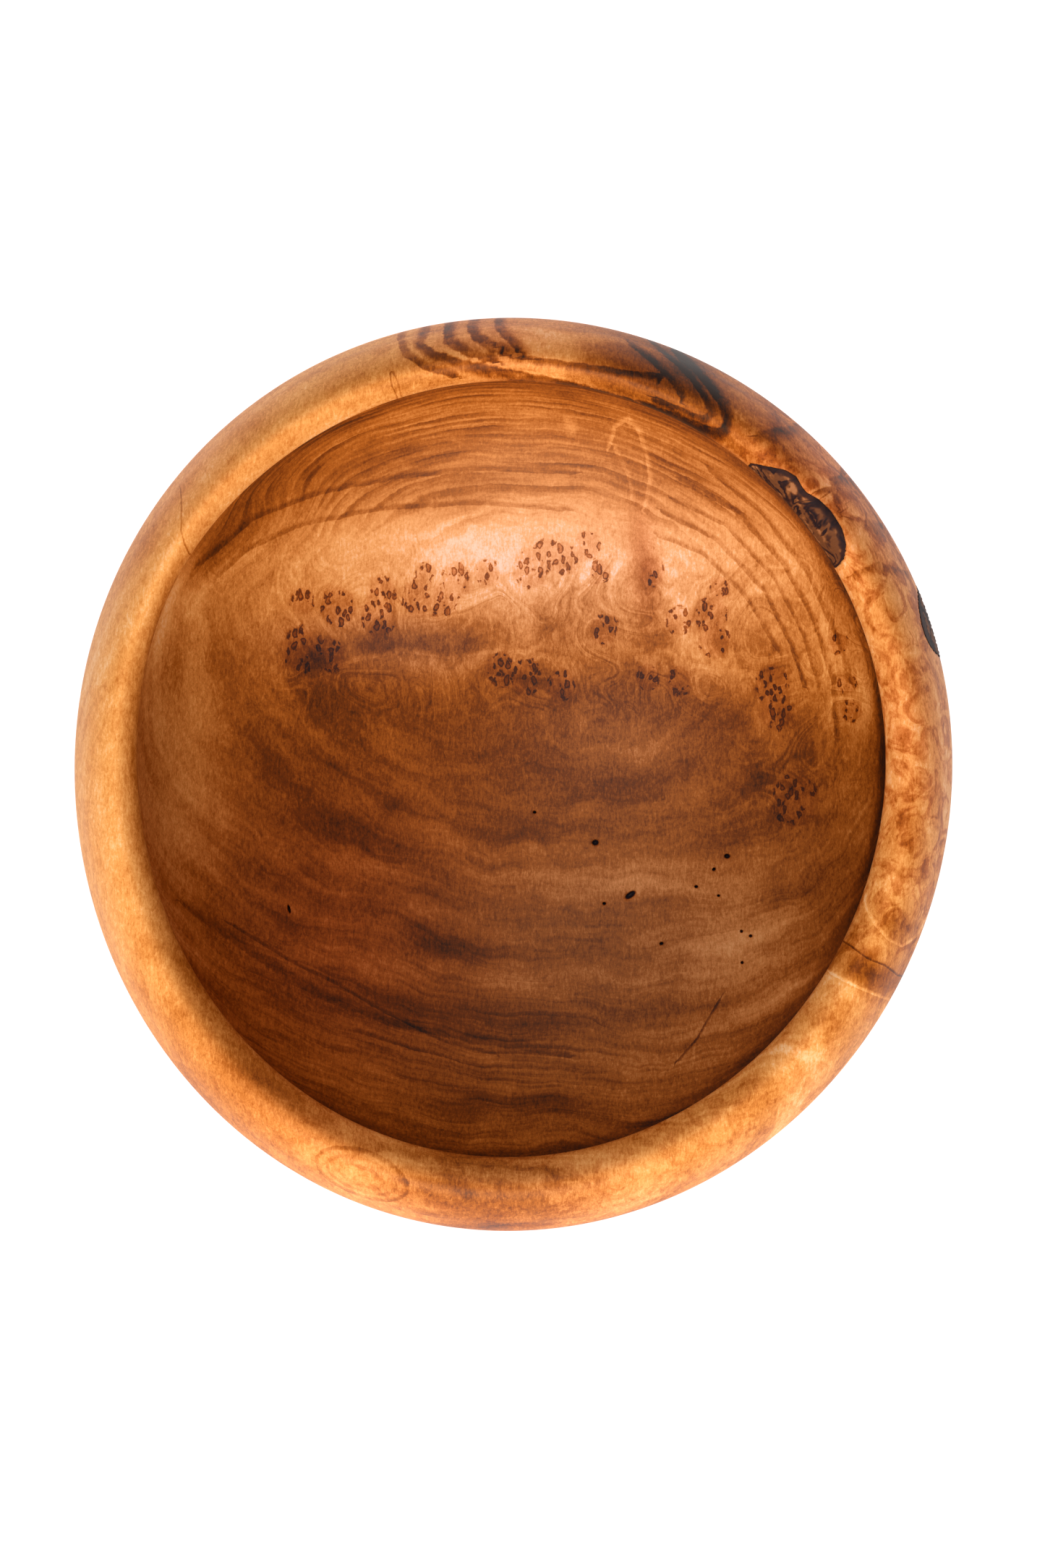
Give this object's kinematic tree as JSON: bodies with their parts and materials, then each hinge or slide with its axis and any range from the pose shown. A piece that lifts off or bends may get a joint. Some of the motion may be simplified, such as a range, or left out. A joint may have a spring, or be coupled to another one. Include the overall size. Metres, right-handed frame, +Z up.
{
  "type": "yarn bowl",
  "caption": "Thick-walled, slightly oval wooden bowl with a rolled rim, a flat foot and a rounded cavity that can hold a ball of yarn. It has no yarn slot or hook.",
  "frame": {"origin": "centre of the flat foot's underside, on the surface that the bowl stands on", "axes": "+Z up out of the mouth; +Y along the oval's longer diameter; +X a quarter turn clockwise from it, seen from above, with the bark between +X and +Y"},
  "size_m": [0.1921, 0.1999, 0.0802],
  "materials": {
    "figured_wood": "satin",
    "ingrown_bark": "matte",
    "outer_bark": "matte"
  },
  "bodies": {
    "root": {"bowl_body": "figured_wood", "rim_bark_pocket": "ingrown_bark", "outer_bark_patch": "outer_bark"}
  },
  "joints": []
}
